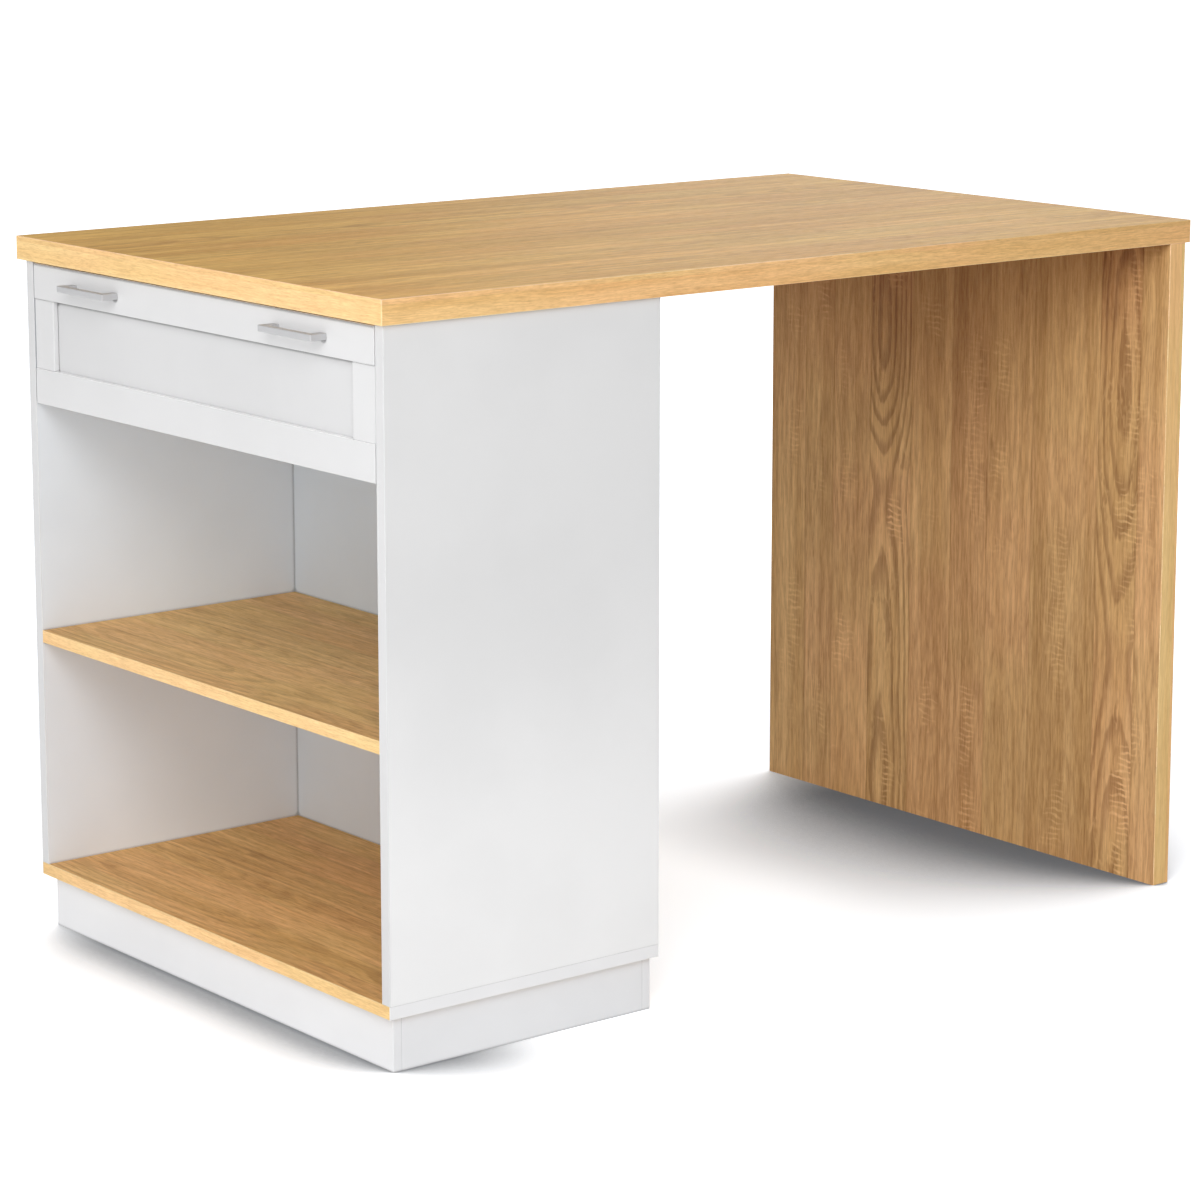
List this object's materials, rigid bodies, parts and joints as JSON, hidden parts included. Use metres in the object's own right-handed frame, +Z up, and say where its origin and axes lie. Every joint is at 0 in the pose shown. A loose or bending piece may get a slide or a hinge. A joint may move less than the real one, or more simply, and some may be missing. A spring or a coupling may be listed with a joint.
{
  "type": "kitchen island unit",
  "caption": "Kitchen island with an oak-look worktop on an open white cabinet with a drawer above two bays, and a full-width oak-look leg panel.",
  "frame": {"origin": "on the floor, under the middle of the unit's bounding box, handles included", "axes": "+X along the worktop from the drawer end to the leg panel, +Y across it to the drawer's left-hand side as one faces the drawer from -X, +Z up; the drawer and the bays face -X"},
  "size_m": [1.317, 0.8, 0.9],
  "materials": {
    "oak_worktop": "laminated worktop, light honey oak print, fine matt pore texture",
    "oak_edge": "oak-print edge band, a little lighter than the faces",
    "oak_leg": "sawn-oak laminate with upright planks, cathedral figure and cross saw marks",
    "oak_board": "oak laminate on the shelf and bottom board",
    "white_board": "white melamine-faced board, smooth and matt",
    "white_edge": "white edge band",
    "white_front": "white laminated drawer front, smooth and matt",
    "white_drawer": "white drawer-side board",
    "white_back": "white lacquered hardboard",
    "raw_wood": "plain beech dowels and softwood glue blocks",
    "handle_metal": "light grey satin metal",
    "runner_steel": "bright zinc-plated rolled steel",
    "cage_steel": "pressed steel strip",
    "ball_steel": "polished hardened steel balls",
    "zinc_steel": "zinc-plated steel",
    "cam_zinc": "die-cast zinc"
  },
  "bodies": {
    "carcass": {"worktop": "oak_worktop", "worktop_end_bands": "oak_edge", "worktop_side_bands": "oak_edge", "leg_panel": "oak_leg", "leg_edge_bands": "oak_edge", "leg_angle": "zinc_steel", "leg_angle_screws": "zinc_steel", "left_side_panel": "white_board", "right_side_panel": "white_board", "side_edge_bands": "white_edge", "bottom_board": "oak_board", "bottom_edge_band": "oak_edge", "bottom_end_bands": "white_edge", "middle_shelf": "oak_board", "shelf_edge_band": "oak_edge", "back_panel": "white_back", "front_stretcher": "white_board", "rear_stretcher": "white_board", "plinth_front_board": "white_board", "plinth_rear_board": "white_board", "plinth_left_board": "white_board", "plinth_right_board": "white_board", "plinth_blocks": "raw_wood", "plinth_screws": "zinc_steel", "carcass_dowels": "raw_wood", "cam_bolts": "zinc_steel", "cam_locks": "cam_zinc", "carcass_screws": "zinc_steel", "worktop_screws": "zinc_steel", "runner_left_outer": "runner_steel", "runner_right_outer": "runner_steel", "runner_outer_screws": "zinc_steel"},
    "ball_cages": {"ball_cage_left": "cage_steel", "ball_cage_right": "cage_steel", "runner_balls": "ball_steel"},
    "drawer": {"runner_left_inner": "runner_steel", "runner_right_inner": "runner_steel", "runner_inner_screws": "zinc_steel", "drawer_front_panel": "white_front", "drawer_top_rail": "white_front", "drawer_bottom_rail": "white_front", "drawer_left_stile": "white_front", "drawer_right_stile": "white_front", "drawer_inner_front": "white_drawer", "drawer_left_side": "white_drawer", "drawer_right_side": "white_drawer", "drawer_back": "white_drawer", "drawer_bottom": "white_back", "drawer_box_screws": "zinc_steel", "drawer_front_screws": "zinc_steel", "left_handle": "handle_metal", "right_handle": "handle_metal", "handle_screws": "zinc_steel"}
  },
  "joints": [
    {"name": "drawer_slide", "type": "slide", "parent": "carcass", "child": "drawer", "axis": [-1, 0, 0], "range_m": [0, 0.26]},
    {"name": "ball_cages_slide", "type": "slide", "parent": "carcass", "child": "ball_cages", "axis": [-1, 0, 0], "range_m": [0, 0.13]}
  ],
  "couplings": [
    {"joint": "ball_cages_slide", "follows": "drawer_slide", "ratio": 0.5}
  ]
}
